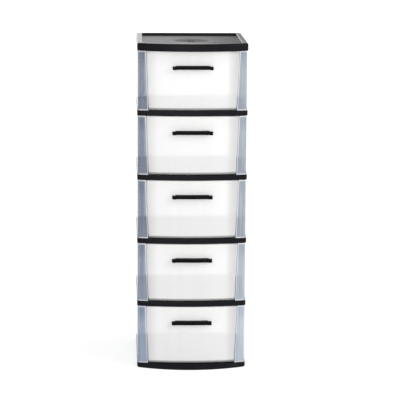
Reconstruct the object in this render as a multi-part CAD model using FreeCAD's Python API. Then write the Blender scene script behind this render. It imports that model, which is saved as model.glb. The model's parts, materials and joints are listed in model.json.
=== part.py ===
"""Five-drawer plastic storage tower. X points right, the front faces -Y, Z is up.

The origin is on the floor, under the middle of the tower. Lengths are in millimetres.
Tiers, drawers and dividers are numbered from the top down.
"""

import FreeCAD
import Part
import math
import os

# The whole tower
tiers = 5
width = 320.0
depth = 370.0  # over the cover's bowed front
bow = 17.0  # how far the middle of the front stands ahead of its corners
corner_radius = 12.0  # upright corners of the black mouldings
tier_height = 172.5  # clear height between two black bands
overrun = 20.0  # how far a cutting solid runs past what it cuts
join = 0.5  # how far a rib is sunk into the wall that carries it

# Black mouldings: top cover, dividers and base
cover_height = 22.0
divider_height = 15.5
base_height = 15.0
skin = 2.0  # outer wall
web = 2.5  # shelf plate
groove_depth = 7.25  # from a band's edge to the shelf plate
rib = 1.8
rib_drop = 1.0  # how far ribs stay below the band's edge

# Top cover
cover_bow = 38.0  # its front overhangs the drawers
rim_width = 18.0
recess_depth = 6.5
recess_corner = 7.0
cover_bevel = 4.0  # upper outer edge
dish_radius = 56.0
dish_depth = 1.0
bowl_radius = 27.0
bowl_depth = 2.2
well_radius = 10.5
well_depth = 7.0
stiffener_height = 5.0

# Base
toe_bow = 37.0  # on the floor, where the front slopes forward
foot_wall = 6.0
base_bays = 4  # cells between the floor ribs, across and along

# Runners for the drawers, on the base and the dividers
runner_inset = 64.0  # from the tower's side to the middle of a runner
runner_width = 3.0
runner_rise = 0.7  # above the band's edge
guide_width = 2.0
guide_rise = 3.5
guide_clearance = 0.8  # beside the drawer
rib_setback = 34.0  # side ribs and guides start behind the front posts

# Clear side and back panels
sheet = 2.2
fit = 0.15  # clearance of a sheet in its groove
tongue = 5.0  # how deep a side sits in its groove
shoulder = 4.5  # height of the bead that rests on a band
shoulder_inset = 0.9
jamb = 2.2  # thickness of the slanted flange along the opening
jamb_depth = 11.0
rear_return = 22.0

# Drawers
post_low = 34.0  # from the tower's side to the drawer, at the tier's floor
post_high = 27.0  # the same at the tier's top
drawer_inset = 3.0  # front face, behind the band's front
drawer_rear_gap = 3.0
side_clearance = 1.0  # between the drawer's rim and the posts
running_gap = 0.3  # over the runners
head_gap = 1.5  # under the band above
wall = 1.8
front_wall = 2.4
drawer_floor = 2.0
rim_out = 1.0
rim_height = 6.0
foot_bevel = 8.0  # along the foot of the front
foot_bevel_inside = 6.5
tub_corner = 14.0  # rear upright corners
travel = 250.0
stop_play = 1.0
lug_x = 60.0
lug_width = 14.0
lug_thickness = 3.0
lug_rise = 3.5  # above the lower edge of the band
stop_rib = 2.5
stop_clearance = 0.5  # between the stop rib and the band's lower edge

# Handles
handle_drop = 42.0  # from the top of the tier to the grip's upper face
handle_length = 117.0
grip_length = 94.0
grip_reach = 18.0
grip_lip = 9.0
grip_plate = 2.4
end_drop = 2.0  # ends below the grip's upper face
end_height = 10.0
end_reach = 15.0
end_break = 1.0
seat_gap = 0.1
back_plate = 2.2
clip_x = 50.0
clip_width = 8.0
clip_height = 2.4
clip_barb = 1.0
clip_length = 1.6
slot_clearance = 0.25

# Worked out from the sizes above
back_y = depth / 2
corner_y = cover_bow - depth / 2  # where the bowed fronts meet the sides
panel_inset = skin + fit
rib_inset = panel_inset + sheet + fit
back_sheet_y = back_y - panel_inset - sheet - fit
runner_x = width / 2 - runner_inset
drawer_half_low = width / 2 - post_low
drawer_half_high = width / 2 - post_high
drawer_lift = runner_rise + running_gap
drawer_height = tier_height - drawer_lift - head_gap
drawer_back_y = back_sheet_y - sheet - drawer_rear_gap
draft = (drawer_half_high - drawer_half_low) / drawer_height
stop_y = drawer_back_y - lug_thickness - travel - stop_play
pitch = tier_height + divider_height


def tier_floor(number):
    """The height of the band's edge under a tier."""
    return base_height + (tiers - number) * pitch


def bow_arc(bulge):
    """The radius of a front with this bow, and the Y of its centre."""
    radius = ((width / 2) ** 2 + bulge**2) / (2 * bulge)
    return radius, corner_y - bulge + radius


def front_y(inset, x=0.0, bulge=bow):
    """Where the bowed front, set in by inset, lies at x."""
    radius, centre_y = bow_arc(bulge)
    return centre_y - math.sqrt((radius - inset) ** 2 - x**2)


def raised(shape, height):
    """A copy of the shape, moved up."""
    copy = shape.copy()
    copy.translate(FreeCAD.Vector(0, 0, height))
    return copy


def mirrored(shape):
    """The left-hand copy of a right-hand piece."""
    return shape.mirror(FreeCAD.Vector(0, 0, 0), FreeCAD.Vector(1, 0, 0))


def with_mirror(shapes):
    return shapes + [mirrored(shape) for shape in shapes]


def box(x_low, x_high, y_low, y_high, z_low, z_high):
    corner = FreeCAD.Vector(x_low, y_low, z_low)
    return Part.makeBox(x_high - x_low, y_high - y_low, z_high - z_low, corner)


def outline_face(points):
    edges = [Part.LineSegment(a, b).toShape() for a, b in zip(points, points[1:] + points[:1])]
    return Part.Face(Part.Wire(edges))


def turned(profile):
    """The solid of revolution about Z of (radius, height) pairs."""
    face = outline_face([FreeCAD.Vector(radius, 0, height) for radius, height in profile])
    return face.revolve(FreeCAD.Vector(0, 0, 0), FreeCAD.Vector(0, 0, 1), 360)


def slab(inset, low, high, bulge=bow):
    """A block with the tower's bowed plan and sharp corners, set in all round by inset."""
    half = width / 2 - inset
    side_y = front_y(inset, half, bulge)
    right = FreeCAD.Vector(half, side_y, low)
    left = FreeCAD.Vector(-half, side_y, low)
    back_left = FreeCAD.Vector(-half, back_y - inset, low)
    back_right = FreeCAD.Vector(half, back_y - inset, low)
    edges = [
        Part.Arc(right, FreeCAD.Vector(0, front_y(inset, 0, bulge), low), left).toShape(),
        Part.LineSegment(left, back_left).toShape(),
        Part.LineSegment(back_left, back_right).toShape(),
        Part.LineSegment(back_right, right).toShape(),
    ]
    return Part.Face(Part.Wire(edges)).extrude(FreeCAD.Vector(0, 0, high - low))


def band(inset, low, high, bulge=bow, corner=None):
    """A block with the plan of the black bands, its corners set in with it."""
    block = slab(inset, low, high, bulge)
    return block.makeFillet(corner or corner_radius - inset, upright_edges(block))


def bow_strip(outer, inner, x_low, x_high, low, high):
    """A strip that follows the bowed front, between two insets."""
    radius, centre_y = bow_arc(bow)
    centre = FreeCAD.Vector(0, centre_y, low)
    shell = Part.makeCylinder(radius - outer, high - low, centre)
    shell = shell.cut(Part.makeCylinder(radius - inner, high - low, centre))
    return shell.common(box(x_low, x_high, front_y(outer) - overrun, 0, low, high))


def straight_strip(outer, inner, x_low, x_high, low, high):
    """A short strip along the bowed front, between two insets, without the curve."""
    corners = ((x_low, outer), (x_high, outer), (x_high, inner), (x_low, inner))
    face = outline_face([FreeCAD.Vector(x, front_y(inset, x), low) for x, inset in corners])
    return face.extrude(FreeCAD.Vector(0, 0, high - low))


def wedge(half_low, half_high, low, high, y_low, y_high):
    """A block along Y whose width grows from half_low at low to half_high at high."""
    corners = ((-half_low, low), (half_low, low), (half_high, high), (-half_high, high))
    face = outline_face([FreeCAD.Vector(x, y_low, z) for x, z in corners])
    return face.extrude(FreeCAD.Vector(0, y_high - y_low, 0))


def upright_edges(shape):
    """The edges that run mostly up."""
    sizes = [(edge, edge.BoundBox) for edge in shape.Edges]
    return [edge for edge, size in sizes if size.ZLength > size.XLength + size.YLength]


def level_edges(shape, height):
    """The edges that lie at a height."""
    sizes = [(edge, edge.BoundBox) for edge in shape.Edges]
    return [edge for edge, size in sizes if max(abs(size.ZMin - height), abs(size.ZMax - height)) < join]


# Black mouldings
def lengthwise_rib(x, thickness, front, back, low, high):
    """A rib along Y on the right, centred on x."""
    return box(x - thickness / 2, x + thickness / 2, front, back, low, high)


def groove_ribs(low, high):
    """The inner walls of the grooves that hold the side and back panels."""
    side_x = width / 2 - rib_inset - rib / 2
    corner_x = width / 2 - corner_radius
    back = back_y - corner_radius
    sheet_front = back_sheet_y - sheet - fit
    side = lengthwise_rib(side_x, rib, front_y(rib_setback, side_x), back, low, high)
    post_x = drawer_half_high + rim_out + side_clearance + jamb
    post_inset = rib_inset + join
    post = straight_strip(post_inset, post_inset + rib, post_x, corner_x, low, high)
    rear = box(-corner_x, corner_x, sheet_front - rib, sheet_front, low, high)
    return with_mirror([side, post]) + [rear]


def shelf_ribs(edge):
    """Runners, side guides and groove ribs on the shelf plate under a band's edge."""
    plate = edge - groove_depth - join
    back = back_sheet_y - sheet - fit - rib
    guide_x = drawer_half_low + guide_clearance + guide_width / 2
    runner_front = front_y(skin, runner_x)
    guide_front = front_y(rib_setback, guide_x)
    runner = lengthwise_rib(runner_x, runner_width, runner_front, back, plate, edge + runner_rise)
    guide = lengthwise_rib(guide_x, guide_width, guide_front, back, plate, edge + guide_rise)
    return with_mirror([runner, guide]) + groove_ribs(plate, edge - rib_drop)


def under_ribs(edge, low, plate):
    """Ribs under a plate: stiffeners down to low, and the rib that stops the drawer below."""
    back = back_sheet_y - sheet - fit - rib
    high = plate + join
    side = lengthwise_rib(runner_x, rib, front_y(skin, runner_x), back, low, high)
    middle = lengthwise_rib(0, rib, front_y(skin), back, low, high)
    half = lug_x + lug_width
    stop = box(-half, half, stop_y - stop_rib, stop_y, edge + stop_clearance, high)
    return with_mirror([side]) + [middle, stop]


def divider():
    """A shelf between two tiers, its upper edge at height zero."""
    low = -divider_height
    plate_top = -groove_depth
    plate_low = plate_top - web
    body = band(0, low, 0)
    body = body.cut([slab(skin, plate_top, overrun), slab(skin, low - overrun, plate_low)])
    ribs = shelf_ribs(0) + groove_ribs(low + rib_drop, plate_low + join)
    ribs += under_ribs(low, low + rib_drop, plate_low)
    return body.fuse(ribs).removeSplitter()


def floor_ribs(high):
    """The grid of ribs that stands on the floor under the base's plate."""
    inset = foot_wall - join
    half = width / 2 - inset
    back = back_y - inset
    front = front_y(inset, half)
    ribs = []
    for bay in range(1, base_bays):
        x = half * (2 * bay / base_bays - 1)
        y = front + (back - front) * bay / base_bays
        ribs.append(box(x - rib / 2, x + rib / 2, front_y(inset, x), back, 0, high))
        ribs.append(box(-half, half, y - rib / 2, y + rib / 2, 0, high))
    return ribs


def toe_block(inset):
    """The base's outline as a block whose front slopes forward towards the floor."""
    outlines = []
    for height, bulge in ((0, toe_bow), (base_height, bow)):
        block = band(inset, height, height + overrun, bulge)
        lowest = min(block.Faces, key=lambda face: face.CenterOfMass.z)
        outlines.append(lowest.OuterWire)
    return Part.makeLoft(outlines, True, True)


def base():
    """The bottom shelf, standing on the floor at height zero."""
    plate_top = base_height - groove_depth
    plate_low = plate_top - web
    below = toe_block(foot_wall).common(box(-width, width, -depth, depth, 0, plate_low))
    body = toe_block(0).cut([slab(skin, plate_top, base_height + overrun), below])
    return body.fuse(shelf_ribs(base_height) + floor_ribs(plate_low + join)).removeSplitter()


def dish(floor):
    """What the stepped round dish takes out of the cover's tray, with its central well."""
    sunk = (dish_depth, bowl_depth, well_depth)
    rim_z, bowl_z, well_z = [floor - drop for drop in sunk]
    return turned([
        (0, floor + overrun),
        (0, well_z),
        (well_radius, well_z),
        (well_radius, bowl_z),
        (bowl_radius, bowl_z),
        (bowl_radius, rim_z),
        (dish_radius, rim_z),
        (dish_radius, floor + overrun),
    ])


def socket(floor, plate):
    """The thickened underside that keeps a wall below the dish's bowl and well."""
    well_z = floor - well_depth - web
    bowl_z = floor - bowl_depth - web
    return turned([
        (0, plate + join),
        (0, well_z),
        (well_radius + web, well_z),
        (well_radius + web, bowl_z),
        (bowl_radius + web, bowl_z),
        (bowl_radius + web, plate + join),
    ])


def top_cover():
    """The cover with its recessed tray, its lower edge at height zero."""
    floor = cover_height - recess_depth
    plate = floor - web
    rim_low = cover_height - cover_bevel
    body = band(0, 0, cover_height, cover_bow)
    body = body.makeChamfer(cover_bevel, level_edges(body, cover_height))
    body = body.cut(band(rim_width, floor, cover_height + overrun, cover_bow, recess_corner))
    inside_rim = slab(rim_width - web, plate - overrun, rim_low + overrun, cover_bow)
    hollow_rim = slab(skin, plate, rim_low, cover_bow).cut(inside_rim)
    body = body.cut([slab(skin, -overrun, plate, cover_bow), hollow_rim])
    corner_x = width / 2 - corner_radius
    front_wall_strip = bow_strip(0, skin, -corner_x, corner_x, 0, plate + join)
    ribs = groove_ribs(rib_drop, rim_low + join) + [front_wall_strip, socket(floor, plate)]
    ribs += under_ribs(0, plate - stiffener_height, plate)
    return body.fuse(ribs).cut(dish(floor)).removeSplitter()


# Clear panels, drawers and handles are made for a tier whose floor is at height zero
def opening(extra, y_low, y_high):
    """The tapered way between the posts, widened by extra on each side."""
    low = -tongue - overrun
    high = tier_height + tongue + overrun
    half = drawer_half_low + rim_out + side_clearance + extra - draft * drawer_lift
    return wedge(half + draft * low, half + draft * high, low, high, y_low, y_high)


def plain_side_block(inset, low, high):
    """The right half of the tower's plan, set in, with a straight run across each front post."""
    half = width / 2 - inset
    back = back_y - inset
    post_y = front_y(inset, drawer_half_low)
    plan = ((half, front_y(inset, half)), (half, back), (0, back), (0, post_y), (drawer_half_low, post_y))
    face = outline_face([FreeCAD.Vector(x, y, low) for x, y in plan])
    return face.extrude(FreeCAD.Vector(0, 0, high - low))


def corner_edges(block, inset):
    """The upright edges at the tower's corners."""
    return [edge for edge in upright_edges(block) if edge.BoundBox.XMin > width / 2 - inset - join]


def side_block(inset, low, high):
    """The same with rounded outer corners."""
    block = plain_side_block(inset, low, high)
    return block.makeFillet(corner_radius - inset, corner_edges(block, inset))


def side_panel():
    """The right-hand clear side: front post with its jamb, side sheet and rear return."""
    inner = panel_inset + sheet
    front = front_y(0) - overrun
    back = back_y + overrun
    low = -tongue - overrun
    high = tier_height + tongue + overrun
    rear = box(0, width, back_y - corner_radius - panel_inset, back, low, high)
    walls = side_block(panel_inset, -tongue, tier_height + tongue)
    for bead_low in (0, tier_height - shoulder):
        walls = walls.fuse(side_block(shoulder_inset, bead_low, bead_low + shoulder).cut(rear))
    inside = plain_side_block(inner, low, high)
    flat = (corner_radius - inner) * (2 - math.sqrt(2))  # as deep as the rounding at its middle
    walls = walls.cut(inside.makeChamfer(flat, corner_edges(inside, inner)))
    jamb_room = plain_side_block(panel_inset, 0, tier_height)
    jamb_room = jamb_room.cut(plain_side_block(panel_inset + jamb_depth, low, high))
    jamb_strip = opening(jamb, front, 0).common(jamb_room)
    return_x = width / 2 - panel_inset - rear_return
    back_way = box(-overrun, return_x, 0, back, low, high)
    way = opening(0, front - overrun, overrun)
    return walls.fuse(jamb_strip).cut([way, back_way]).removeSplitter()


def back_panel():
    half = width / 2 - corner_radius
    high = tier_height + tongue
    return box(-half, half, back_sheet_y - sheet, back_sheet_y, -groove_depth, high)


def tub(grow, inset, back, low, high, corner):
    """A tapered block with a bowed front, wider than the drawer by grow on each side."""
    half = drawer_half_low + grow - draft * drawer_lift
    block = wedge(half + draft * low, half + draft * high, low, high, front_y(0) - overrun, back)
    block = block.common(slab(inset, low, high))
    rear_edges = [edge for edge in upright_edges(block) if edge.BoundBox.YMin > 0]
    return block.makeFillet(corner, rear_edges)


def front_foot(block, height):
    """The lower edge of a tub's front."""
    return [edge for edge in level_edges(block, height) if edge.BoundBox.YMax < 0]


def stop_lug():
    """The right-hand tab on the rear rim, which meets the stop rib of the moulding above."""
    low = tier_height - head_gap - rim_height
    x_low = lug_x - lug_width / 2
    x_high = lug_x + lug_width / 2
    return box(x_low, x_high, drawer_back_y - lug_thickness, drawer_back_y, low, tier_height + lug_rise)


def clip_slot():
    """The right-hand slot in the drawer's front for one of the handle's clips."""
    middle = tier_height - handle_drop - end_drop - end_height / 2
    half_width = clip_width / 2 + slot_clearance
    half_height = clip_height / 2 + slot_clearance
    y = front_y(drawer_inset, clip_x)
    low = middle - half_height
    high = middle + half_height
    return box(clip_x - half_width, clip_x + half_width, y - overrun, y + overrun, low, high)


def drawer():
    floor = drawer_lift
    top = floor + drawer_height
    body = tub(0, drawer_inset, drawer_back_y, floor, top, tub_corner)
    body = body.makeChamfer(foot_bevel, front_foot(body, floor))
    rim_inset = drawer_inset - rim_out
    rim_back = drawer_back_y + rim_out
    rim = tub(rim_out, rim_inset, rim_back, top - rim_height, top, tub_corner + rim_out)
    inside = floor + drawer_floor
    hollow_back = drawer_back_y - wall
    hollow = tub(-wall, drawer_inset + front_wall, hollow_back, inside, top + overrun, tub_corner - wall)
    hollow = hollow.makeChamfer(foot_bevel_inside, front_foot(hollow, inside))
    body = body.fuse(rim).cut([hollow] + with_mirror([clip_slot()]))
    return body.fuse(with_mirror([stop_lug()])).removeSplitter()


def clip(middle):
    """The right-hand clip, which passes through the drawer's front and hooks behind it."""
    x_low = clip_x - clip_width / 2
    x_high = clip_x + clip_width / 2
    low = middle - clip_height / 2
    high = middle + clip_height / 2
    face = front_y(drawer_inset, clip_x) - back_plate / 2
    catch = front_y(drawer_inset + front_wall, x_high) + slot_clearance
    shank = box(x_low, x_high, face, catch + clip_length, low, high)
    barb = box(x_low, x_high, catch, catch + clip_length, low - clip_barb, high)
    return shank.fuse(barb)


def handle():
    """A pull handle: a bar with a turned-down lip between two ends, on a back plate."""
    top = tier_height - handle_drop
    end_top = top - end_drop
    end_low = end_top - end_height
    half_grip = grip_length / 2
    half = handle_length / 2
    near = drawer_inset - seat_gap
    tip = near - grip_reach
    plate = bow_strip(tip, near, -half_grip, half_grip, top - grip_plate, top)
    lip = bow_strip(tip, tip + grip_plate, -half_grip, half_grip, top - grip_lip, top)
    back = bow_strip(near - back_plate, near, -half, half, end_low, end_top)
    end = bow_strip(near - end_reach, near, half_grip - join, half, end_low, end_top)
    outer_edges = [edge for edge in upright_edges(end) if edge.BoundBox.XMin > half - join]
    outer_front = min(outer_edges, key=lambda edge: edge.BoundBox.YMin)
    end = end.makeChamfer(end_break, [outer_front])
    return plate.fuse([lip, back] + with_mirror([end, clip(end_top - end_height / 2)])).removeSplitter()


def model():
    """Every piece by its name."""
    shelf = divider()
    side = side_panel()
    tier_pieces = {
        "left_side": mirrored(side),
        "right_side": side,
        "back_panel": back_panel(),
        "drawer": drawer(),
        "drawer_handle": handle(),
    }
    pieces = {"top_cover": raised(top_cover(), tier_floor(1) + tier_height), "base": base()}
    for number in range(1, tiers + 1):
        floor = tier_floor(number)
        if number < tiers:
            pieces[f"divider_{number}"] = raised(shelf, floor)
        for name, piece in tier_pieces.items():
            pieces[f"{name}_{number}"] = raised(piece, floor)
    return pieces


os.makedirs("parts", exist_ok=True)
for name, shape in model().items():
    shape.exportStep(f"parts/{name}.step")
    print(name, len(shape.Solids), "solid", shape.isValid(), round(shape.Volume))
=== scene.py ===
# %% [markdown]
# # A five-drawer plastic storage tower
# The tower is a stack of black moulded shelves with clear sides between them and frosted drawers
# that slide out towards the front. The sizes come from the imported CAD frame, in metres. Each step
# below says what the piece is on the real object, how it could be made, and why this way was chosen.

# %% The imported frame
import json
import math

import bmesh
import bpy
from mathutils import Matrix, Vector


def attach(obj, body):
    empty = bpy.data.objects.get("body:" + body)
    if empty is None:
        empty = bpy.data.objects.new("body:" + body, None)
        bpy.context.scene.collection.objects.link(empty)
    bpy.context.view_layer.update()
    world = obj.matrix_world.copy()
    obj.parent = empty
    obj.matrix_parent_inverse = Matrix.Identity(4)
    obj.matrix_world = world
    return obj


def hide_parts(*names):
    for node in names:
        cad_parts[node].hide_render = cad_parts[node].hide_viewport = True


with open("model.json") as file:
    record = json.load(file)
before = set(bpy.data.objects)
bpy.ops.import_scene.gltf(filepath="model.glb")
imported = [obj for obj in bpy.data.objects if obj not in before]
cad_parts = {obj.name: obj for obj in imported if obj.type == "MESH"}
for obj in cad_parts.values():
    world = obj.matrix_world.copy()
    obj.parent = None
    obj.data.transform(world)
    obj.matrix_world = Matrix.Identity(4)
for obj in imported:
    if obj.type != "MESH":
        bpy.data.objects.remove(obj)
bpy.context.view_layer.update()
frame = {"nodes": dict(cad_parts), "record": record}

# %% The stack's heights, in millimetres
tiers = 5
millimetre = 0.001
tier_height, divider_height, base_height, cover_height = 172.5, 15.5, 15.0, 22.0
tier_pitch = tier_height + divider_height
tier_floors = [base_height + (tiers - number) * tier_pitch for number in range(1, tiers + 1)]
print("tier floors:", tier_floors)

# %% [markdown]
# ## The camera
# The picture was taken from a few metres away with a long lens, so upright edges stay nearly
# parallel. The camera stands a little left of the tower and looks slightly down, which shows the
# tray in the top cover. Three angles turn it, which is easier to read than a matrix of nine numbers.

# %% The camera's place, angles and lens
camera_place = Vector((-0.200, -5.147, 1.438))
look_down = math.radians(10.573)
look_right = math.radians(2.554)
lean = math.radians(0.388)
lens_length, sensor_width = 157.25, 36.0


def add_object(name, data):
    """A new object in the scene."""
    made = bpy.data.objects.new(name, data)
    bpy.context.scene.collection.objects.link(made)
    return made


camera = add_object("camera", bpy.data.cameras.new("camera"))
bpy.context.scene.camera = camera
camera.data.lens = lens_length
camera.data.sensor_width = sensor_width
forward = Vector((
    math.sin(look_right) * math.cos(look_down),
    math.cos(look_right) * math.cos(look_down),
    -math.sin(look_down),
))
level = Vector((math.cos(look_right), -math.sin(look_right), 0.0))
upward = level.cross(forward)
across = level * math.cos(lean) + upward * math.sin(lean)
upward = upward * math.cos(lean) - level * math.sin(lean)
turned = Matrix((across, upward, -forward)).transposed().to_4x4()
camera.matrix_world = Matrix.Translation(camera_place) @ turned
print("lens", lens_length, "mm at", tuple(camera_place))

# %% [markdown]
# ## Adding shader and geometry nodes
# A node tree written out line by line is long and hard to follow. One helper adds a node and fills
# its sockets from a dictionary: a socket of another node is linked, anything else is typed in. A
# few short helpers on top of it give a name to each step that every tree needs.

# %% The node helpers
def add_node(tree, kind, sockets=None, **settings):
    """Adds a node. Sockets are given by name or number, settings are the node's own options."""
    node = tree.nodes.new(kind)
    for name, value in settings.items():
        setattr(node, name, value)
    for name, value in (sockets or {}).items():
        if isinstance(value, bpy.types.NodeSocket):
            tree.links.new(value, node.inputs[name])
        else:
            node.inputs[name].default_value = value
    return node


def calculated(tree, operation, *numbers):
    """What a Math node makes of one or two numbers."""
    return add_node(tree, "ShaderNodeMath", dict(enumerate(numbers)), operation=operation).outputs[0]


def ramp(tree, value, low, high, first, last):
    """A number that goes from first to last while value goes from low to high."""
    return add_node(tree, "ShaderNodeMapRange", {
        "Value": value, "From Min": low, "From Max": high, "To Min": first, "To Max": last}).outputs[0]


def length_of(tree, vector):
    return add_node(tree, "ShaderNodeVectorMath", {0: vector}, operation="LENGTH").outputs["Value"]


def axes_of(tree, vector):
    """A vector's X, Y and Z."""
    return add_node(tree, "ShaderNodeSeparateXYZ", {0: vector}).outputs


def object_place(tree):
    """Where a point lies on its own object."""
    return add_node(tree, "ShaderNodeTexCoord").outputs["Object"]


def noise(tree, place, scale, detail):
    sockets = {"Vector": place, "Scale": scale, "Detail": detail}
    return add_node(tree, "ShaderNodeTexNoise", sockets).outputs["Fac"]


def mixed_colour(tree, factor, first, last):
    sockets = {"Factor": factor, 6: first, 7: last}
    return add_node(tree, "ShaderNodeMix", sockets, data_type="RGBA").outputs[2]


def new_material(name):
    """An empty node material and its tree."""
    made = bpy.data.materials.new(name)
    made.use_nodes = True
    made.node_tree.nodes.clear()
    return made, made.node_tree


# %% [markdown]
# ## Floor and light
# The tower stands on a pale floor that runs on into a white background. The world is white for
# rays from the camera and for reflections, so the plastic mirrors a white studio, but it lights
# the object more softly. The floor mixes light of its own for the camera with a plain diffuse
# surface, so it looks white and still takes a faint shadow.

# %% World, floor and lamps
white = (1, 1, 1, 1)
ambient = 0.70  # the world's strength as a light
floor_half, floor_colour = 40.0, (0.86, 0.86, 0.87, 1)
glow_share = 0.55  # how much of the floor's look is light of its own
glow_reach, glow_strength = (0.6, 7.0), (1.30, 1.8)  # metres from the axis, and the strength at each
lamp_aim = Vector((0, 0, 0.5))
lamp_table = {  # name: (place, width, height, watts)
    "key_lamp": ((3.6, -2.6, 2.4), 2.2, 2.2, 85.0),
    "front_lamp": ((-0.6, -5.2, 1.5), 2.4, 2.4, 86.0),
    "rear_lamp": ((-0.88, 3.0, 1.25), 2.3, 1.2, 13.0),
}


def seen_by_eye(tree):
    """1 for rays from the camera, in a reflection or through clear plastic, and 0 for light itself."""
    path = add_node(tree, "ShaderNodeLightPath").outputs
    seen = calculated(tree, "MAXIMUM", path["Is Camera Ray"], path["Is Glossy Ray"])
    return calculated(tree, "MAXIMUM", seen, path["Is Transmission Ray"])


world = bpy.data.worlds.new("studio")
bpy.context.scene.world = world
world.use_nodes = True
tree = world.node_tree
tree.nodes.clear()
strength = ramp(tree, seen_by_eye(tree), 0.0, 1.0, ambient, 1.0)
glow = add_node(tree, "ShaderNodeBackground", {"Color": white, "Strength": strength})
add_node(tree, "ShaderNodeOutputWorld", {"Surface": glow.outputs[0]})

floor_material, tree = new_material("pale_floor")
strength = ramp(tree, length_of(tree, object_place(tree)), *glow_reach, *glow_strength)
matt = add_node(tree, "ShaderNodeBsdfDiffuse", {"Color": floor_colour})
bright = add_node(tree, "ShaderNodeEmission", {"Color": white, "Strength": strength})
share = calculated(tree, "MULTIPLY", seen_by_eye(tree), glow_share)
mixed = add_node(tree, "ShaderNodeMixShader", {0: share, 1: matt.outputs[0], 2: bright.outputs[0]})
add_node(tree, "ShaderNodeOutputMaterial", {"Surface": mixed.outputs[0]})

floor_mesh = bpy.data.meshes.new("floor")
corners = [(x * floor_half, y * floor_half, 0) for x, y in ((-1, -1), (1, -1), (1, 1), (-1, 1))]
floor_mesh.from_pydata(corners, [], [(0, 1, 2, 3)])
floor_mesh.materials.append(floor_material)
floor = add_object("floor", floor_mesh)

for name, (place, width, height, watts) in lamp_table.items():
    lamp = add_object(name, bpy.data.lights.new(name, "AREA"))
    lamp.data.energy = watts
    lamp.data.shape = "RECTANGLE"
    lamp.data.size, lamp.data.size_y = width, height
    lamp.location = place
    lamp.visible_camera = False
    lamp.rotation_euler = (lamp_aim - Vector(place)).to_track_quat("-Z", "Y").to_euler()
bpy.context.scene.view_settings.view_transform = "Standard"
print("lamps:", ", ".join(lamp_table))

# %% [markdown]
# ## The finishes
# There are three plastics. The black mouldings are polypropylene with a satin skin: nearly black
# seen straight on, and pale where they are seen at a low angle, because they mirror the room. The
# sides are clear plastic with a faint blue-grey tint that looks denser where the sheet is seen
# nearly edge on. The left sides are tinted darker than the right ones, as in the photograph: the
# same plastic, with painted shade on the left and painted light on the right. The drawers are
# milky, so the floor of a drawer shows through its front as a greyer field. A wall has two surfaces,
# and only the one that is met first is shaded: two see-through layers for each wall would darken
# whatever stands behind them. The grain and the tints read Object coordinates, so they stay on the
# piece when a drawer slides.

# %% Black satin plastic
flow_scale, flow_polish = 22.0, (-0.04, 0.06)  # the flow marks' size, and how they change the roughness
grain_depth = 0.0002  # metres
black_grain, clear_grain = (1400.0, 0.05), (900.0, 0.06)  # (scale, strength)
matt_roughness, matt_blur = 0.46, 0.002
rim_roughness, rim_blur = 0.28, 0.0005


def grain_normal(tree, place, scale, strength):
    """The fine grain of a moulded skin."""
    sockets = {"Height": noise(tree, place, scale, 2.0), "Strength": strength, "Distance": grain_depth}
    return add_node(tree, "ShaderNodeBump", sockets).outputs[0]


def black_plastic(name, dark, light, polish, gloss, matt_radius=0.0, rim_level=0.0):
    """Satin black: faint cloudy flow marks and a fine grain in the skin.

    matt_radius asks for a matt disc round the axis, and rim_level for a more polished skin above
    that height, both in metres.
    """
    made, tree = new_material(name)
    place = object_place(tree)
    cloud = noise(tree, place, flow_scale, 3.0)
    rough = ramp(tree, cloud, 0.0, 1.0, polish + flow_polish[0], polish + flow_polish[1])
    if matt_radius:
        flat = add_node(tree, "ShaderNodeVectorMath", {0: place, 1: (1.0, 1.0, 0.0)}, operation="MULTIPLY")
        spread = length_of(tree, flat.outputs[0])
        rough = ramp(tree, spread, matt_radius - matt_blur, matt_radius, matt_roughness, rough)
    if rim_level:
        height = axes_of(tree, place)["Z"]
        rough = ramp(tree, height, rim_level - rim_blur, rim_level, rough, rim_roughness)
    shader = add_node(tree, "ShaderNodeBsdfPrincipled", {
        "Base Color": mixed_colour(tree, cloud, (*dark, 1), (*light, 1)), "Roughness": rough,
        "Normal": grain_normal(tree, place, *black_grain), "Specular IOR Level": gloss,
    })
    add_node(tree, "ShaderNodeOutputMaterial", {"Surface": shader.outputs[0]})
    return made


satin_dark, satin_light = (0.006, 0.006, 0.008), (0.010, 0.010, 0.012)
moulding_black = black_plastic("moulding_black", satin_dark, satin_light, polish=0.33, gloss=0.06)
cover_black = black_plastic("cover_black", satin_dark, satin_light, polish=0.36, gloss=0.05,
                            matt_radius=0.051, rim_level=0.9565)
handle_black = black_plastic("handle_black", (0.003, 0.003, 0.003), (0.006, 0.006, 0.006),
                             polish=0.45, gloss=0.03)
print("black:", moulding_black.name, cover_black.name, handle_black.name)

# %% Clear and frosted plastic
jamb_low, jamb_high = 127.6, 134.7  # half the way between the posts, at the foot and the top of a tier
# Above this span the top of each tier takes a darker tint: painted shade under the shelf above.
under_shelf_shade_reach = (0.120, 0.150)  # from the lower to the upper tint, in metres above a tier's floor
# Painted light: below this height the colour is lightened, as if lit by the floor.
painted_floor_light_fade = (0.08, 0.45)  # where the floor's light fades out, in metres above the floor
# A drawer's darkening towards its sides is painted shade of its side walls.
foot_shade, painted_side_shade_reach = (0.0065, 0.0095), (0.100, 0.131)  # metres above a tier's floor, and from the middle
facing_up, facing_sideways = (0.5, 0.9), (0.6, 0.9)  # parts of a normal
bead_width, bead_blur, jamb_bead = 0.004, 0.0008, (0.002, 0.0035)  # metres
margin_blur = 0.003
edge_blend = 0.35
streak_stretch, streak_range = (1.0, 1.0, 0.02), (0.3, 0.7)  # drawn out upwards, and the noise's usual span


def height_in_tier(tree, height):
    """Metres above the floor of the tier that a height is in."""
    above = calculated(tree, "SUBTRACT", height, base_height * millimetre)
    return calculated(tree, "FLOORED_MODULO", above, tier_pitch * millimetre)


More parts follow.
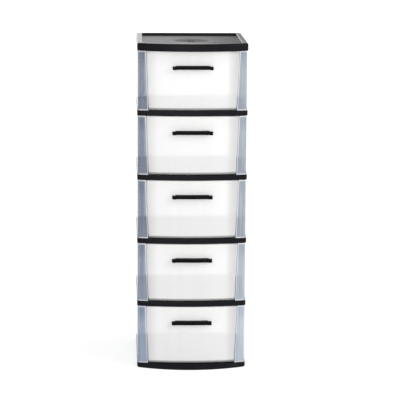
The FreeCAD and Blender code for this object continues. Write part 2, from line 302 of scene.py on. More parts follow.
def tub_shades(tree, from_middle, height, upright, foot, painted_side_shade):
    """How a drawer darkens: round the foot of its walls, but not on level faces, and at its sides, where the
    darkening is painted shade.
    """
    corner = ramp(tree, height, *foot_shade, foot, 1.0)
    level_face = ramp(tree, upright, *facing_up, 0.0, 1.0)
    # Towards the sides the colour is darkened: painted shade of the side walls seen through the front.
    return [calculated(tree, "MAXIMUM", corner, level_face), ramp(tree, from_middle, *painted_side_shade_reach, 1.0, painted_side_shade)]


def bead_highlight_mask(tree, from_middle, height):
    """1 on the moulded edges of a side: its foot, its top and the inner edge of its post, which are tinted
    lighter, partly as thicker plastic and partly as a painted highlight.
    """
    top = tier_height * millimetre
    to_end = calculated(tree, "MINIMUM", height, calculated(tree, "SUBTRACT", top, height))
    ends = ramp(tree, to_end, bead_width - bead_blur, bead_width, 1.0, 0.0)
    jamb = ramp(tree, height, 0.0, top, jamb_low * millimetre, jamb_high * millimetre)
    beyond = calculated(tree, "SUBTRACT", from_middle, jamb)
    return calculated(tree, "MAXIMUM", ends, ramp(tree, beyond, *jamb_bead, 1.0, 0.0))


def see_through(name, low, high, alpha, polish, streak, contrast, painted_floor_light=1.0,
                bead_tint_and_highlight=None, border=None, tub=None, sheet=None):
    """Tinted plastic, denser where it is seen edge on, with faint upright flow streaks.

    low tints each tier and high its top, which is darker: painted shade under the shelf above. alpha
    is the opacity seen straight on and edge on. painted_floor_light lightens the lowest tier with
    painted light, as if from the floor. bead_tint_and_highlight is the tint of a side's moulded edges,
    lighter partly as thicker plastic and partly as a painted highlight, and border is (half width,
    tint, opacity) for the margin of a sheet. tub is how much a drawer darkens at its rounded foot and
    at its sides, where the darkening is painted shade, and sheet is the opacity of faces turned
    sideways, where the plastic is thinner than in the posts.
    """
    made, tree = new_material(name)
    place = object_place(tree)
    level, _, above_floor = axes_of(tree, place)
    from_middle = calculated(tree, "ABSOLUTE", level)
    height = height_in_tier(tree, above_floor)
    surface = add_node(tree, "ShaderNodeNewGeometry").outputs
    turned, _, upright = axes_of(tree, surface["Normal"])
    edge = add_node(tree, "ShaderNodeLayerWeight", {"Blend": edge_blend}).outputs["Facing"]

    drawn = add_node(tree, "ShaderNodeMapping", {"Vector": place, "Scale": streak_stretch}).outputs[0]
    shade = ramp(tree, noise(tree, drawn, streak, 2.0), *streak_range, 1.0 - contrast, 1.0 + contrast)
    # Painted light: the colour grows lighter towards the floor, as if lit by it.
    shades = [ramp(tree, above_floor, *painted_floor_light_fade, painted_floor_light, 1.0)]
    if tub:
        shades += tub_shades(tree, from_middle, height, upright, *tub)
    for factor in shades:
        shade = calculated(tree, "MULTIPLY", shade, factor)
    # The top of each tier is tinted darker: painted shade under the shelf above.
    colour = mixed_colour(tree, ramp(tree, height, *under_shelf_shade_reach, 0.0, 1.0), (*low, 1), (*high, 1))
    colour = add_node(tree, "ShaderNodeVectorMath", {0: colour, "Scale": shade}, operation="SCALE").outputs[0]

    thin, dense = alpha
    if sheet:
        thin = ramp(tree, calculated(tree, "ABSOLUTE", turned), *facing_sideways, thin, sheet)
    opacity = ramp(tree, edge, 0.0, 1.0, thin, dense)
    # The moulded edges take a lighter tint: partly thicker plastic, partly a painted highlight.
    if bead_tint_and_highlight:
        colour = mixed_colour(tree, bead_highlight_mask(tree, from_middle, height), colour, (*bead_tint_and_highlight, 1))
    if border:
        half, tint, margin_opacity = border
        mask = ramp(tree, from_middle, half, half + margin_blur, 0.0, 1.0)
        colour = mixed_colour(tree, mask, colour, (*tint, 1))
        opacity = ramp(tree, mask, 0.0, 1.0, opacity, margin_opacity)
    outside = calculated(tree, "SUBTRACT", 1.0, surface["Backfacing"])
    shader = add_node(tree, "ShaderNodeBsdfPrincipled", {
        "Base Color": colour, "Roughness": polish, "Normal": grain_normal(tree, place, *clear_grain),
        "Alpha": calculated(tree, "MULTIPLY", opacity, outside),
    })
    add_node(tree, "ShaderNodeOutputMaterial", {"Surface": shader.outputs[0]})
    return made


side_look = {"alpha": (0.70, 0.95), "polish": 0.18, "streak": 260.0, "contrast": 0.12, "sheet": 0.36}
# One clear plastic in two copies: the left one tinted darker as painted shade, the right one lighter as
# painted light, because the lamps stand on the right.
clear_shaded_left = see_through("clear_shaded_left", (0.185, 0.222, 0.29), (0.125, 0.158, 0.22), painted_floor_light=1.85,
                         bead_tint_and_highlight=(0.66, 0.68, 0.72), **side_look)
clear_lit_right = see_through("clear_lit_right", (0.34, 0.388, 0.445), (0.28, 0.33, 0.395), painted_floor_light=1.5,
                          bead_tint_and_highlight=(0.72, 0.74, 0.77), **side_look)
clear_back = see_through("clear_back", (0.60, 0.65, 0.70), (0.56, 0.61, 0.67), alpha=(0.12, 0.60),
                         polish=0.15, streak=260.0, contrast=0.06, border=(0.126, (0.30, 0.35, 0.42), 0.6))
frosted_drawer = see_through("frosted_drawer", (0.95, 0.945, 0.94), (0.93, 0.925, 0.915), alpha=(0.64, 0.93),
                             polish=0.4, streak=40.0, contrast=0.01, painted_floor_light=1.04, tub=(0.42, 0.76))
finish_of = {"black_plastic": moulding_black, "clear_plastic": clear_shaded_left, "frosted_plastic": frosted_drawer}
print("see-through:", clear_shaded_left.name, clear_lit_right.name, clear_back.name, frosted_drawer.name)

# %% Every CAD node gets its finish first
slot_of = {row["node"]: row["material_slot"] for row in frame["record"]["subparts"]}
for name, node in frame["nodes"].items():
    node.data.materials.clear()
    node.data.materials.append(handle_black if "handle" in name else finish_of[slot_of[name]])
print("finished", len(frame["nodes"]), "nodes")

# %% [markdown]
# ## Shapes made of rings
# Most pieces of the tower are shells whose level sections all follow one rule: a bowed front, two
# straight sides, a straight back and four rounded corners. Sections like these can be extruded,
# swept along a path, or skinned. A sweep folds over itself where a wall turns in further than its
# corner's radius, so the rings are worked out one by one and skinned. Each piece is then a list
# of rings that starts at a point in its middle, runs out, round every edge, and back in on the
# other side.

# %% The sizes all pieces share, in millimetres
half_width = 160.0
back_y = 185.0
corner_y = -147.0
corner_radius = 12.0
band_bow, cover_bow, toe_bow = 17.0, 38.0, 37.0
side_steps, corner_steps, front_steps, back_steps = 14, 6, 40, 16


def bow_arc(bulge):
    """The radius of a front with this bow, and the Y of its centre."""
    radius = (half_width**2 + bulge**2) / (2 * bulge)
    return radius, corner_y - bulge + radius


def front_y(inset, x=0.0, bulge=band_bow):
    """The Y of the bowed front at x, set in by this much."""
    radius, centre = bow_arc(bulge)
    return centre - math.sqrt((radius - inset) ** 2 - x**2)


def spaced(first, last, steps):
    """Evenly spaced values that leave the last one out."""
    return [first + (last - first) * step / steps for step in range(steps)]


def arc(centre, radius, angles):
    """The points of an arc at these angles."""
    return [(centre[0] + radius * math.cos(angle), centre[1] + radius * math.sin(angle)) for angle in angles]


def turn(centre, radius, first, last, steps):
    """Points on an arc, from one angle up to the other, which is left out."""
    return arc(centre, radius, spaced(first, last, steps))


def outline(half, front_inset, back, bulge=band_bow, front_corner=corner_radius, rear_corner=corner_radius):
    """The points of one level section, and for each how far it belongs to the front."""
    radius, centre = bow_arc(bulge)
    radius -= front_inset
    turn_y = centre - math.sqrt((radius - front_corner) ** 2 - (half - front_corner) ** 2)
    slope = math.atan2(turn_y - centre, half - front_corner)
    right = [(half, y) for y in spaced(back - rear_corner, turn_y, side_steps)]
    right += turn((half - front_corner, turn_y), front_corner, 0, slope, corner_steps)
    front = turn((0, centre), radius, slope, -math.pi - slope, front_steps)
    left = turn((front_corner - half, turn_y), front_corner, -math.pi - slope, -math.pi, corner_steps)
    left += [(-half, y) for y in spaced(turn_y, back - rear_corner, side_steps)]
    rear = turn((rear_corner - half, back - rear_corner), rear_corner, math.pi, math.pi / 2, corner_steps)
    rear += [(x, back) for x in spaced(rear_corner - half, half - rear_corner, back_steps)]
    rear += turn((half - rear_corner, back - rear_corner), rear_corner, math.pi / 2, 0, corner_steps)
    fronting = [0.0] * side_steps + spaced(0, 1, corner_steps) + [1.0] * front_steps
    fronting += spaced(1, 0, corner_steps) + [0.0] * (side_steps + 2 * corner_steps + back_steps)
    return right + front + left + rear, fronting


def band_ring(inset, height, bulge=band_bow, corner=None):
    """A section of a black moulding, set in all round."""
    corner = corner or max(corner_radius - inset, 1.0)
    points, _ = outline(half_width - inset, inset, back_y - inset, bulge, corner, corner)
    return [(x, y, height) for x, y in points]


def round_ring(radius, height):
    """A circle round the tower's axis, with its points in the same directions as an outline's."""
    points, _ = outline(half_width, 0.0, back_y)
    return [(radius * x / math.hypot(x, y), radius * y / math.hypot(x, y), height) for x, y in points]


def rounded_edge(centre, radius, first, last, steps=3):
    """(inset, height) pairs round an edge, from one angle to another, both ends kept."""
    degrees = [first + (last - first) * step / steps for step in range(steps + 1)]
    return arc(centre, radius, map(math.radians, degrees))


ring_points = len(round_ring(1.0, 0.0))
print(ring_points, "points in each ring")

# %% [markdown]
# ## Skinning the rings with Geometry Nodes
# The rings go into a curve object, one spline each. The tree lays a flat grid with one row for
# each ring, and moves every grid point to the curve point with the same number. The grid's last
# column meets its first, and a merge closes that seam and the points at the two ends. Because the
# rows follow the rings, the skin has clean rows of four-sided faces, which shade smoothly.

# %% The skin tree
same_place = 1e-6  # points closer than this are one, in metres


def new_geometry_tree(name, **inputs):
    """An empty tree, its group input node, and the identifiers of its own inputs."""
    tree = bpy.data.node_groups.new(name, "GeometryNodeTree")
    tree.interface.new_socket("Geometry", in_out="INPUT", socket_type="NodeSocketGeometry")
    tree.interface.new_socket("Geometry", in_out="OUTPUT", socket_type="NodeSocketGeometry")
    for label, kind in inputs.items():
        tree.interface.new_socket(label, in_out="INPUT", socket_type=kind)
    names = {item.name: item.identifier for item in tree.interface.items_tree if item.in_out == "INPUT"}
    return tree, add_node(tree, "NodeGroupInput"), names


def close_tree(tree, geometry, finish):
    """Ends a tree the way every tree here ends: instances made real, then the material."""
    real = add_node(tree, "GeometryNodeRealizeInstances", {0: geometry})
    painted = add_node(tree, "GeometryNodeSetMaterial", {"Geometry": real.outputs[0], "Material": finish})
    add_node(tree, "NodeGroupOutput", {0: painted.outputs[0]})


skin_tree, given, skin_inputs = new_geometry_tree(
    "skin_rings", Rings="NodeSocketInt", Points="NodeSocketInt", Finish="NodeSocketMaterial")
points = given.outputs["Points"]
columns = calculated(skin_tree, "ADD", points, 1.0)
grid = add_node(skin_tree, "GeometryNodeMeshGrid",
                {"Vertices X": given.outputs["Rings"], "Vertices Y": columns})
index = add_node(skin_tree, "GeometryNodeInputIndex").outputs[0]
safe_index = calculated(skin_tree, "ADD", index, 0.5)
ring_number = calculated(skin_tree, "FLOOR", calculated(skin_tree, "DIVIDE", safe_index, columns))
column = calculated(skin_tree, "SUBTRACT", index, calculated(skin_tree, "MULTIPLY", ring_number, columns))
column = calculated(skin_tree, "MODULO", column, points)
source = calculated(skin_tree, "ADD", calculated(skin_tree, "MULTIPLY", ring_number, points), column)
position = add_node(skin_tree, "GeometryNodeInputPosition").outputs[0]
picked = add_node(skin_tree, "GeometryNodeSampleIndex", {
    "Geometry": given.outputs["Geometry"], "Value": position, "Index": source}, data_type="FLOAT_VECTOR")
moved = add_node(skin_tree, "GeometryNodeSetPosition",
                 {"Geometry": grid.outputs[0], "Position": picked.outputs[0]})
merged = add_node(skin_tree, "GeometryNodeMergeByDistance",
                  {"Geometry": moved.outputs[0], "Distance": same_place})
close_tree(skin_tree, merged.outputs[0], given.outputs["Finish"])
print("skin tree:", len(skin_tree.nodes), "nodes")

# %% [markdown]
# ## From a tree to a plain mesh
# A modifier's result is turned into a plain mesh, and the object that carried it is thrown away.
# The new shell is checked: its faces are turned outwards, which shows as a volume above zero, and
# edges that don't have two faces are counted, of which there should be none.

# %% Running a tree, and checking a shell
def result_of(carrier):
    """The plain mesh that an object's modifiers make. The object is thrown away."""
    seen = carrier.evaluated_get(bpy.context.evaluated_depsgraph_get())
    mesh = bpy.data.meshes.new_from_object(seen)
    bpy.data.objects.remove(carrier)
    return mesh


def run_tree(data, tree, names, **values):
    """Runs a geometry tree on a mesh or curve and returns a plain mesh."""
    carrier = add_object(data.name, data)
    modifier = carrier.modifiers.new(tree.name, "NODES")
    modifier.node_group = tree
    for label, value in values.items():
        modifier[names[label]] = value
    carrier.update_tag()
    return result_of(carrier)


def checked(mesh, label):
    """Turns a closed shell's faces outwards and says how sound it is."""
    shell = bmesh.new()
    shell.from_mesh(mesh)
    bmesh.ops.remove_doubles(shell, verts=shell.verts, dist=same_place)
    bmesh.ops.dissolve_degenerate(shell, edges=shell.edges, dist=same_place / 10)
    bmesh.ops.recalc_face_normals(shell, faces=shell.faces)
    if shell.calc_volume(signed=True) < 0:
        bmesh.ops.reverse_faces(shell, faces=shell.faces)
    open_edges = sum(1 for edge in shell.edges if len(edge.link_faces) != 2)
    volume = shell.calc_volume(signed=True) * 1e6
    shell.to_mesh(mesh)
    shell.free()
    print(f"{label}: {len(mesh.polygons)} faces, {open_edges} open edges, {volume:.1f} cm3")
    return mesh


def skinned(label, rings, finish):
    """The shell over a list of rings, given in millimetres."""
    drawing = bpy.data.curves.new(label + "_rings", "CURVE")
    drawing.dimensions = "3D"
    for ring in rings:
        spline = drawing.splines.new("POLY")
        spline.points.add(len(ring) - 1)
        for point, place in zip(spline.points, ring):
            point.co = (*(value * millimetre for value in place), 1.0)
        spline.use_cyclic_u = True
    mesh = run_tree(drawing, skin_tree, skin_inputs, Rings=len(rings), Points=len(rings[0]), Finish=finish)
    return checked(mesh, label)


def to_point(height):
    """A ring drawn in to one point on the axis."""
    return [(0.0, 0.0, height)] * ring_points


# %% [markdown]
# ## Ribs
# The undersides are stiffened with thin ribs, and ribs on the shelves guide the drawers. They are
# all straight bars, so a table of boxes says where they are, and Geometry Nodes sets one bar on
# each row's point, scaled by the size stored with that point. A union then makes them one moulding
# with the shell, as they are on the real part.

# %% The rib tree, and the union
rib_tree, given, rib_inputs = new_geometry_tree("ribs_on_points", Finish="NodeSocketMaterial")
bar = add_node(rib_tree, "GeometryNodeMeshCube", {"Size": (1.0, 1.0, 1.0)})
bar_size = add_node(rib_tree, "GeometryNodeInputNamedAttribute", {"Name": "bar_size"},
                    data_type="FLOAT_VECTOR")
placed = add_node(rib_tree, "GeometryNodeInstanceOnPoints", {
    "Points": given.outputs["Geometry"], "Instance": bar.outputs["Mesh"], "Scale": bar_size.outputs[0]})
close_tree(rib_tree, placed.outputs[0], given.outputs["Finish"])


def ribs(label, boxes, finish):
    """Bars from a table of (x, y, z) ranges in millimetres."""
    points = bpy.data.meshes.new(label + "_points")
    points.from_pydata([[sum(side) / 2 * millimetre for side in box] for box in boxes], [], [])
    sizes = points.attributes.new("bar_size", "FLOAT_VECTOR", "POINT")
    for row, box in zip(sizes.data, boxes):
        row.vector = [(high - low) * millimetre for low, high in box]
    return run_tree(points, rib_tree, rib_inputs, Finish=finish)


def combined(shell, tool, label):
    """One closed mesh from two."""
    carrier = add_object(label, shell)
    partner = add_object(label + "_tool", tool)
    modifier = carrier.modifiers.new("join", "BOOLEAN")
    modifier.operation = "UNION"
    modifier.object = partner
    modifier.solver = "EXACT"
    modifier.use_self = True
    mesh = result_of(carrier)
    bpy.data.objects.remove(partner)
    return checked(mesh, label)


def both_sides(low, high):
    """An x range and its mirror image."""
    return [(low, high), (-high, -low)]


print("rib tree:", len(rib_tree.nodes), "nodes")

# %% [markdown]
# ## Putting a finished piece in place
# Pieces of one kind differ only in height, so each kind is made once, at a tier whose floor is at
# zero, and copied. The height goes into the mesh, because a piece's object has to stay at the
# origin. Flat faces next to a rounded edge shade badly when all corners are averaged alike, so a
# weighted normal modifier gives the large faces the say.

# %% Placing
sharp_angle = math.radians(38)


def shaded(mesh, label):
    """Smooth shading with crisp corners, and normals that favour the large faces."""
    mesh.shade_smooth()
    mesh.set_sharp_from_angle(angle=sharp_angle)
    carrier = add_object(label, mesh)
    modifier = carrier.modifiers.new("weighted", "WEIGHTED_NORMAL")
    modifier.keep_sharp = True
    return result_of(carrier)


def place_piece(name, mesh, height, node, body, finish):
    """A piece that stands for a CAD node, raised to its height and riding on its body."""
    own = mesh.copy()
    own.transform(Matrix.Translation((0, 0, height * millimetre)))
    own.materials.clear()
    own.materials.append(finish)
    piece = add_object(name, own)
    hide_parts(node)
    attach(piece, body)


# %% [markdown]
# ## The dividers
# A divider is a shelf with a band round it, like an I-beam on its side: grooves above and below
# the shelf take the clear sides. The band's edges are rounded, because a mould can't make a dead
# sharp edge and because a round edge catches a thin line of light.

# %% A divider, its upper edge at zero
skin, web, groove_depth = 2.0, 2.5, 7.25
edge_radius = 0.8  # a band's edge on its inner side
edge_width, edge_height = 1.0, 2.6  # and on its outer side, where it is taller than wide
rib, rib_drop, rear_rib = 1.8, 1.0, 176.35
rib_end = rear_rib + rib / 2
overlap = 0.5  # how far a rib reaches into the wall it stands on
side_rib, side_rib_inset, side_rib_back = (153.7, 155.5), 34.0, 173.0
post_rib, post_rib_inset = (137.2, 148.0), 6.0
runner_x, runner_width, runner_rise = 96.0, 3.0, 0.7
guide_x, guide_width, guide_rise = 127.8, 2.0, 3.5
stop_y, stop_width, stop_gap, lug_reach = -78.7, 2.5, 0.5, 74.0


def band_edge(top):
    """(inset, height) pairs round a band's edge, from inside to outside, where it is rounder."""
    pairs = rounded_edge((skin - edge_radius, -edge_radius), edge_radius, 0, 90)
    pairs += [(inset, -edge_height + height * edge_height / edge_width)
              for inset, height in rounded_edge((edge_width, 0.0), edge_width, 90, 180, 5)]
    return [(inset, top + height) for inset, height in pairs]


def groove_bars(low, high):
    """The ribs that hold the clear panels in their grooves."""
    side_front = front_y(side_rib_inset, sum(side_rib) / 2)
    post_front = front_y(post_rib_inset, sum(post_rib) / 2)
    bars = [(x, (side_front, side_rib_back), (low, high)) for x in both_sides(*side_rib)]
    bars += [(x, (post_front - 0.3, post_front + 1.5), (low, high)) for x in both_sides(*post_rib)]
    return bars + [((-post_rib[1], post_rib[1]), (rear_rib, rear_rib + rib), (low, high))]


def long_bars(middle, width, inset, low, high):
    """A pair of bars that run from the front to the rear rib."""
    y = (front_y(inset, middle), rib_end)
    return [(x, y, (low, high)) for x in both_sides(middle - width / 2, middle + width / 2)]


def shelf_bars(edge):
    """Runners, guides and groove ribs on a shelf under a band's edge."""
    low = edge - groove_depth - overlap
    bars = long_bars(runner_x, runner_width, skin, low, edge + runner_rise)
    bars += long_bars(guide_x, guide_width, side_rib_inset, low, edge + guide_rise)
    return bars + groove_bars(low, edge - rib_drop)


def under_bars(edge, low, plate):
    """Stiffeners under a shelf, and the rib that stops the drawer below."""
    high = plate + overlap
    bars = long_bars(runner_x, rib, 1.0, low, high)
    bars.append(((-rib / 2, rib / 2), (front_y(1.0), rib_end), (low, high)))
    return bars + [((-lug_reach, lug_reach), (stop_y - stop_width, stop_y), (edge + stop_gap, high))]


shelf_top = -groove_depth
shelf_low = shelf_top - web
divider_rings = [to_point(shelf_top), band_ring(skin, shelf_top)]
divider_rings += [band_ring(inset, height) for inset, height in band_edge(0.0)]
divider_rings += [band_ring(inset, -divider_height - height) for inset, height in reversed(band_edge(0.0))]
divider_rings += [band_ring(skin, shelf_low), to_point(shelf_low)]
divider_shell = skinned("divider_shell", divider_rings, moulding_black)
divider_bars = shelf_bars(0.0) + groove_bars(rib_drop - divider_height, shelf_low + overlap)
divider_bars += under_bars(-divider_height, rib_drop - divider_height, shelf_low)
divider_mesh = combined(divider_shell, ribs("divider_ribs", divider_bars, moulding_black), "divider")
divider_mesh = shaded(divider_mesh, "divider")
for number in range(1, tiers):
    place_piece(f"divider_{number}_moulding", divider_mesh, tier_floors[number - 1], f"divider_{number}",
                "frame", moulding_black)

# %% [markdown]
# ## The base
# The base is a shelf whose band stands on the floor. Seen from the front its lower edge bows more
# than its upper edge, because the front slopes forward to the floor. So the bow of each ring
# follows its height. The lower edge has a larger radius, and a grid of ribs stands under the shelf.

# %% The base, standing on zero
foot_wall, foot_radius, bays = 6.0, 4.0, 4
base_shelf_top = base_height - groove_depth
base_shelf_low = base_shelf_top - web


def bow_at(height):
    """The bow of the base's front, which grows towards the floor."""
    return toe_bow + (band_bow - toe_bow) * height / base_height


base_rings = [to_point(base_shelf_top), band_ring(skin, base_shelf_top)]
base_rings += [band_ring(inset, height, band_bow if inset > 1 else bow_at(height))
               for inset, height in band_edge(base_height)]
foot_edge = rounded_edge((foot_radius, foot_radius), foot_radius, 180, 270, 5)
base_rings += [band_ring(inset, height, bow_at(height)) for inset, height in foot_edge]
base_rings += [band_ring(foot_wall, height, bow_at(height)) for height in (0.0, base_shelf_low)]
base_rings += [to_point(base_shelf_low)]
base_shell = skinned("base_shell", base_rings, moulding_black)
base_bars = shelf_bars(base_height)
grid_half = half_width - foot_wall + overlap
grid_back = back_y - foot_wall + overlap
grid_front = front_y(foot_wall, grid_half)
grid_height = (0.0, base_shelf_low + overlap)
for bay in range(1, bays):
    x = grid_half * (2 * bay / bays - 1)
    y = grid_front + (grid_back - grid_front) * bay / bays
    base_bars.append(((x - rib / 2, x + rib / 2), (front_y(foot_wall - overlap, x), grid_back), grid_height))
    base_bars.append(((-grid_half, grid_half), (y - rib / 2, y + rib / 2), grid_height))
base_mesh = combined(base_shell, ribs("base_ribs", base_bars, moulding_black), "base")
place_piece("base_moulding", shaded(base_mesh, "base"), 0.0, "base",
            "frame", moulding_black)

# %% [markdown]
# ## The top cover
# The cover is a shallow tray with a wide rim, and its front bows further out than the shelves
# below. In the tray's middle is a round dish that goes down in two gentle slopes to a small well.
# The same rings make it: round rings continue where the outline's rings end, with their points in
# the same directions.

# %% The cover, its lower edge at zero
rim_width, rim_radius, inner_radius, tray_depth, tray_radius = 18.0, 5.5, 4.0, 6.5, 1.0
under_corner, rim_corner, tray_corner = 9.5, 26.0, 25.0  # the last two shrink by a ring's inset
dish_depth, bowl_radius, bowl_depth, well_radius, well_depth = 1.0, 27.0, 2.2, 10.5, 7.0
stiffener_height = 5.0
tray = cover_height - tray_depth
tray_low, bowl_low, well_low = tray - web, tray - bowl_depth - web, tray - well_depth - web
rim_low = cover_height - rim_radius
under_wall = rim_width - web


def cover_ring(inset, height, corner=None):
    return band_ring(inset, height, cover_bow, corner)


cover_rings = [to_point(well_low)]
cover_rings += [round_ring(well_radius + web, height) for height in (well_low, bowl_low)]
cover_rings += [round_ring(bowl_radius + web, height) for height in (bowl_low, tray_low)]
cover_rings += [cover_ring(under_wall, height, under_corner) for height in (tray_low, rim_low)]
cover_rings += [cover_ring(skin, rim_low)]
cover_rings += [cover_ring(inset, -height) for inset, height in band_edge(0.0)]
cover_rings += [cover_ring(inset, height)
                for inset, height in rounded_edge((rim_radius, rim_low), rim_radius, 180, 90, 7)]
inner_edge = rounded_edge((rim_width - inner_radius, cover_height - inner_radius), inner_radius, 90, 0, 6)
cover_rings += [cover_ring(inset, height, rim_corner - inset) for inset, height in inner_edge]
tray_edge = rounded_edge((rim_width + tray_radius, tray + tray_radius), tray_radius, 180, 270)
cover_rings += [cover_ring(inset, height, tray_corner - inset) for inset, height in tray_edge]
dish_slopes = (  # (outer radius, height there, inner radius, height there)
    (70.0, tray, 50.0, tray - dish_depth),
    (44.0, tray - dish_depth, 12.5, tray - bowl_depth),
    (11.3, tray - bowl_depth, 10.1, tray - well_depth),
)
for outer, high, inner, low in dish_slopes:
    for part in (0.0, 0.15, 0.5, 0.85, 1.0):
        eased = part * part * (3 - 2 * part)
        cover_rings.append(round_ring(outer + (inner - outer) * part, high + (low - high) * eased))
cover_rings += [to_point(tray - well_depth)]
cover_shell = skinned("cover_shell", cover_rings, moulding_black)
cover_bars = groove_bars(rib_drop, rim_low + overlap) + under_bars(0.0, tray_low - stiffener_height, tray_low)
cover_mesh = combined(cover_shell, ribs("cover_ribs", cover_bars, moulding_black), "cover")
place_piece("top_cover_moulding", shaded(cover_mesh, "cover"), tier_floors[0] + tier_height, "top_cover",
            "frame", cover_black)

# %% [markdown]
# ## The drawers
# A drawer is a milky tub: sides that lean out a little so it leaves its mould, a bowed front with
# a wide round foot, rounded rear corners, and a rim turned out at the top. Its rings need more
# than an inset: the front foot is rounder than the sides, so each ring has one offset and height
# for the front and another for the rest, and the front corners blend between them.

# %% A drawer, in a tier whose floor is at zero
drawer_low, drawer_top = 1.0, 171.0
drawer_half_low, drawer_half_high = 126.0, 133.0
drawer_inset, drawer_back = 3.0, 175.3
wall, front_wall, drawer_floor = 1.8, 2.4, 2.0
rim_out, rim_height, rim_edge = 1.0, 6.0, 0.7
side_out = 0.7  # the sides stand this much further out than the halves above say, except at the rim
outer_foot = (2.5, 4.0, 9.0)  # the radius at the sides, and the depth and height in front
inner_foot = (1.5, 3.0, 7.0)
drawer_corner, sharpest_corner, tub_corner = 2.2, 0.6, 14.0
lug_x, lug_thickness, lug_top = (53.0, 67.0), 3.0, tier_height + 3.5
draft = (drawer_half_high - drawer_half_low) / (drawer_top - drawer_low)
drawer_rim = drawer_top - rim_height
drawer_inside = drawer_low + drawer_floor


def drawer_ring(side, side_height, front=None, front_height=None):
    """A section of the tub, grown by side and front, at one height on the sides and another in front."""
    front = side if front is None else front
    front_height = side_height if front_height is None else front_height
    half = drawer_half_low + draft * (side_height - drawer_low) + side + min(side_out, rim_out - side)
    points, fronting = outline(half, drawer_inset - front, drawer_back + side, band_bow,
                               max(drawer_corner + side, sharpest_corner), tub_corner + side)
    ring = []
    for (x, y), share in zip(points, fronting):
        height = side_height + (front_height - side_height) * share
        widened = 1.0 + draft * (height - side_height) / half
        ring.append((x * widened, y, height))
    return ring


def foot_rings(bottom, side, front, foot):
    """Rings round the tub's foot, from its bottom up, on a wall set in by side and by front."""
    radius, depth, rise = foot
    rings = []
    for degrees in range(0, 91, 15):
        run, up = 1 - math.sin(math.radians(degrees)), 1 - math.cos(math.radians(degrees))
        rings.append(drawer_ring(-side - radius * run, bottom + radius * up,
                                 -front - depth * run, bottom + rise * up))
    return rings


drawer_rings = [to_point(drawer_low)] + foot_rings(drawer_low, 0.0, 0.0, outer_foot)
drawer_rings += [drawer_ring(0.0, drawer_rim - 0.6), drawer_ring(0.3, drawer_rim - 0.2)]
drawer_rings += [drawer_ring(rim_out, drawer_rim + 0.3)]
round_low = drawer_top - rim_edge
drawer_rings += [drawer_ring(rim_out - rim_edge + grown, round_low + height)
                 for grown, height in rounded_edge((0, 0), rim_edge, 0, 90)]
drawer_rings += [drawer_ring(-wall + rim_edge - grown, round_low + height, -front_wall + rim_edge - grown)
                 for grown, height in rounded_edge((0, 0), rim_edge, 90, 0)]
drawer_rings += reversed(foot_rings(drawer_inside, wall, front_wall, inner_foot))
drawer_rings.append(to_point(drawer_inside))
drawer_shell = skinned("drawer_shell", drawer_rings, frosted_drawer)
lugs = [(x, (drawer_back - lug_thickness, drawer_back), (drawer_rim, lug_top)) for x in both_sides(*lug_x)]
drawer_mesh = combined(drawer_shell, ribs("drawer_lugs", lugs, frosted_drawer), "drawer")
drawer_mesh = shaded(drawer_mesh, "drawer")
for number, height in enumerate(tier_floors, 1):
    place_piece(f"drawer_{number}_tub", drawer_mesh, height, f"drawer_{number}",
                f"drawer_{number}_body", frosted_drawer)

# %% [markdown]
# ## The handles
# Each handle is a black bar that clips into the drawer's front. A hand hooks behind its turned-down
# lip. Its ends are solid blocks, and the grip between them stands a little higher, with slanted
# shoulders. It isn't a level section that changes with height, but an upright section that changes
# from end to end. The same skin tree takes such rings just as well.

# %% A handle, in a tier whose floor is at zero
handle_half, grip_half, shoulder_run = 58.5, 47.0, 3.5
grip_top = tier_height - 42.0
grip_reach, lip_drop, plate, back_plate = 18.0, 10.0, 2.4, 2.2
block_top, block_low, block_reach = grip_top - 2.0, grip_top - 11.3, 15.0
block_middle, block_wall = (block_top + block_low) / 2, 0.6
handle_inset = drawer_inset - 0.1
corner_radii = (0.2, 0.4, 1.3, 0.8, 0.5, 0.2, 0.2, 0.2)
corner_middle = 0.29  # puts the middle point of a rounded corner on its arc
clip_x, clip_hook, clip_rise, catch_drop = (46.0, 54.0), 1.6, 1.2, 2.2


def section(corners, radii):
    """A closed section whose corners are rounded, three points to a corner."""
    points = []
    for number, corner in enumerate(corners):
        here = Vector(corner)
        before = (Vector(corners[number - 1]) - here).normalized()
        after = (Vector(corners[(number + 1) % len(corners)]) - here).normalized()
        size = radii[number]
        middle = here + (before + after) * size * corner_middle
        points += [here + before * size, middle, here + after * size]
    return points


def handle_ring(x, block, shrink=0.0):
    """The handle's section at x, from the grip's (block 0) to the end block's (block 1)."""
    top = grip_top + (block_top - grip_top) * block
    reach = grip_reach + (block_reach - grip_reach) * block
    pocket = plate if block < 0.5 else top - block_low - block_wall
    lip_low = grip_top - lip_drop if block < 0.5 else block_low
    corners = [(0, block_low), (0, top), (reach, top), (reach, lip_low), (reach - plate, lip_low),
               (reach - plate, top - pocket), (back_plate, top - pocket), (back_plate, block_low)]
    ring = []
    for reach_out, height in section(corners, corner_radii):
        reach_out = min(max(reach_out, shrink), reach - shrink)
        height = min(max(height, block_low + shrink), top - shrink)
        ring.append((x, front_y(handle_inset - reach_out, x), height))
    return ring


def handle_end(x):
    """A ring drawn in to the middle of an end block's outer face."""
    return [(x, front_y(handle_inset - block_reach / 2), block_middle)] * (3 * len(corner_radii))


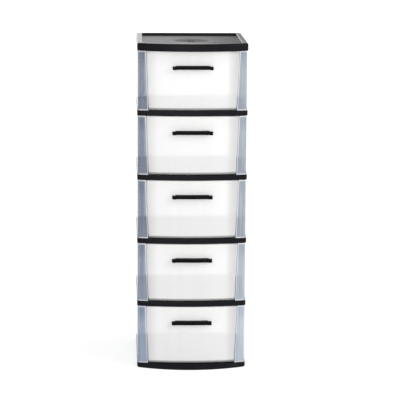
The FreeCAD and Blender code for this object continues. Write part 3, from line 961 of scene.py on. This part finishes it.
stations = [(handle_half, 1, 1.0), (handle_half - 0.3, 1, 0.3), (handle_half - 1.0, 1, 0.0)]
stations += [(grip_half + shoulder_run * part, part, 0.0) for part in (1, 0.75, 0.5001, 0.4999, 0.25, 0.0)]
stations += [(grip_half * part, 0, 0.0) for part in (0.8, 0.6, 0.4, 0.2, 0.0)]
handle_rings = [handle_end(-handle_half)]
handle_rings += [handle_ring(-x, block, shrink) for x, block, shrink in stations]
handle_rings += [handle_ring(x, block, shrink) for x, block, shrink in stations[-2::-1]]
handle_rings.append(handle_end(handle_half))
handle_shell = skinned("handle_shell", handle_rings, handle_black)
clip_front = front_y(drawer_inset, sum(clip_x) / 2) - 1.1
catch_front = front_y(drawer_inset + front_wall, clip_x[1]) + 0.25
clip_end = catch_front + clip_hook
clips = []
for x in both_sides(*clip_x):
    clips.append((x, (clip_front, clip_end), (block_middle - clip_rise, block_middle + clip_rise)))
    clips.append((x, (catch_front, clip_end), (block_middle - catch_drop, block_middle)))
handle_mesh = combined(handle_shell, ribs("handle_clips", clips, handle_black), "handle")
handle_mesh = shaded(handle_mesh, "handle")
for number, height in enumerate(tier_floors, 1):
    place_piece(f"drawer_handle_{number}_grip", handle_mesh, height, f"drawer_handle_{number}",
                f"drawer_{number}_body", handle_black)

# %% [markdown]
# ## Clear sides and backs
# These shapes are already exact in the CAD model, but its edges are dead sharp. A copy of a
# node's mesh is merged, because it comes as loose triangles, its flat triangles are joined into
# whole faces, and its outer edges get a small round. The five copies of a kind differ only in
# height, so the first tier's is rounded once and copied down.

# %% Rounded copies
panel_round, round_segments = 0.5, 2  # the radius in millimetres
flat_angle, outward_angle = math.radians(0.3), math.radians(30.0)


def rounded_copy(node):
    """A node's mesh with its outward edges rounded, at the height of a tier whose floor is at zero."""
    shell = bmesh.new()
    shell.from_mesh(frame["nodes"][node].data)
    bmesh.ops.remove_doubles(shell, verts=shell.verts, dist=2 * same_place)
    bmesh.ops.dissolve_limit(shell, angle_limit=flat_angle, verts=shell.verts, edges=shell.edges)
    outward = [edge for edge in shell.edges if edge.calc_face_angle_signed(0) > outward_angle]
    bmesh.ops.bevel(shell, geom=outward, offset=panel_round * millimetre, offset_type="OFFSET",
                    segments=round_segments, profile=0.5, affect="EDGES", clamp_overlap=True)
    mesh = bpy.data.meshes.new(node + "_rounded")
    shell.to_mesh(mesh)
    shell.free()
    mesh.transform(Matrix.Translation((0, 0, -tier_floors[0] * millimetre)))
    return shaded(checked(mesh, node + " rounded"), node)


for kind, finish in (("left_side", clear_shaded_left), ("right_side", clear_lit_right), ("back_panel", clear_back)):
    mesh = rounded_copy(kind + "_1")
    for number, height in enumerate(tier_floors, 1):
        place_piece(f"{kind}_{number}_piece", mesh, height, f"{kind}_{number}",
                    "frame", finish)
